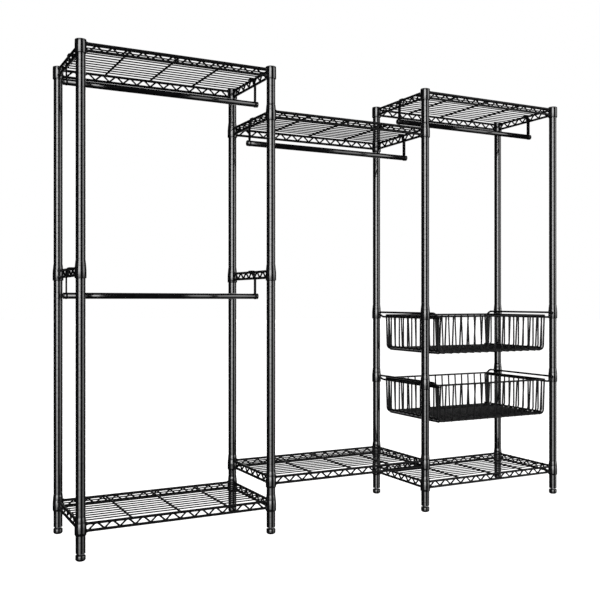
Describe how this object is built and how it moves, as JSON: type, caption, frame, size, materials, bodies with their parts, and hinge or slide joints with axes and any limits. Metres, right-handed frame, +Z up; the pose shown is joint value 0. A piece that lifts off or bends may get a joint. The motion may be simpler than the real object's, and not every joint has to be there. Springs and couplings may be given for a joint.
{
  "type": "closet organizer",
  "caption": "Free-standing wire closet rack with round grooved posts, truss-sided wire shelves, hanging rods and pull-out wire baskets.",
  "frame": {"origin": "on the floor, under the middle of the rack's footprint", "axes": "+X along the rack to the right, +Y to the back, +Z up"},
  "size_m": [2.454, 0.494, 1.98],
  "materials": {
    "black_steel": "glossy black coating",
    "black_plastic": "moulded black plastic, satin",
    "bright_steel": "zinc-plated"
  },
  "bodies": {
    "rack": {"front_post_1": "black_steel", "front_post_2": "black_steel", "front_post_3": "black_steel", "front_post_4": "black_steel", "back_post_1": "black_steel", "back_post_2": "black_steel", "back_post_3": "black_steel", "back_post_4": "black_steel", "left_top_shelf": "black_steel", "left_bottom_shelf": "black_steel", "middle_top_shelf": "black_steel", "middle_bottom_shelf": "black_steel", "right_top_shelf": "black_steel", "right_bottom_shelf": "black_steel", "outer_side_ladder": "black_steel", "inner_side_ladder": "black_steel", "left_upper_rod": "black_steel", "left_lower_rod": "black_steel", "middle_rod": "black_steel", "right_rod": "black_steel", "left_upper_rod_hooks": "black_steel", "left_lower_rod_hooks": "black_steel", "middle_rod_hooks": "black_steel", "right_rod_hooks": "black_steel", "upper_left_runner": "black_steel", "upper_right_runner": "black_steel", "lower_left_runner": "black_steel", "lower_right_runner": "black_steel", "post_caps": "black_plastic", "rod_end_caps": "black_plastic", "collar_sleeves": "black_plastic", "lock_nuts": "bright_steel", "foot_inserts": "bright_steel"},
    "upper_basket": {"upper_basket": "black_steel"},
    "lower_basket": {"lower_basket": "black_steel"},
    "front_foot_1": {"front_foot_1": "black_plastic", "front_stud_1": "bright_steel"},
    "front_foot_2": {"front_foot_2": "black_plastic", "front_stud_2": "bright_steel"},
    "front_foot_3": {"front_foot_3": "black_plastic", "front_stud_3": "bright_steel"},
    "front_foot_4": {"front_foot_4": "black_plastic", "front_stud_4": "bright_steel"},
    "back_foot_1": {"back_foot_1": "black_plastic", "back_stud_1": "bright_steel"},
    "back_foot_2": {"back_foot_2": "black_plastic", "back_stud_2": "bright_steel"},
    "back_foot_3": {"back_foot_3": "black_plastic", "back_stud_3": "bright_steel"},
    "back_foot_4": {"back_foot_4": "black_plastic", "back_stud_4": "bright_steel"}
  },
  "joints": [
    {"name": "upper_basket_slide", "type": "slide", "parent": "rack", "child": "upper_basket", "axis": [0, -1, 0], "range_m": [0, 0.3]},
    {"name": "lower_basket_slide", "type": "slide", "parent": "rack", "child": "lower_basket", "axis": [0, -1, 0], "range_m": [0, 0.3]},
    {"name": "front_foot_1_screw", "type": "slide", "parent": "rack", "child": "front_foot_1", "axis": [0, 0, -1], "range_m": [0, 0.012]},
    {"name": "front_foot_2_screw", "type": "slide", "parent": "rack", "child": "front_foot_2", "axis": [0, 0, -1], "range_m": [0, 0.012]},
    {"name": "front_foot_3_screw", "type": "slide", "parent": "rack", "child": "front_foot_3", "axis": [0, 0, -1], "range_m": [0, 0.012]},
    {"name": "front_foot_4_screw", "type": "slide", "parent": "rack", "child": "front_foot_4", "axis": [0, 0, -1], "range_m": [0, 0.012]},
    {"name": "back_foot_1_screw", "type": "slide", "parent": "rack", "child": "back_foot_1", "axis": [0, 0, -1], "range_m": [0, 0.012]},
    {"name": "back_foot_2_screw", "type": "slide", "parent": "rack", "child": "back_foot_2", "axis": [0, 0, -1], "range_m": [0, 0.012]},
    {"name": "back_foot_3_screw", "type": "slide", "parent": "rack", "child": "back_foot_3", "axis": [0, 0, -1], "range_m": [0, 0.012]},
    {"name": "back_foot_4_screw", "type": "slide", "parent": "rack", "child": "back_foot_4", "axis": [0, 0, -1], "range_m": [0, 0.012]}
  ]
}
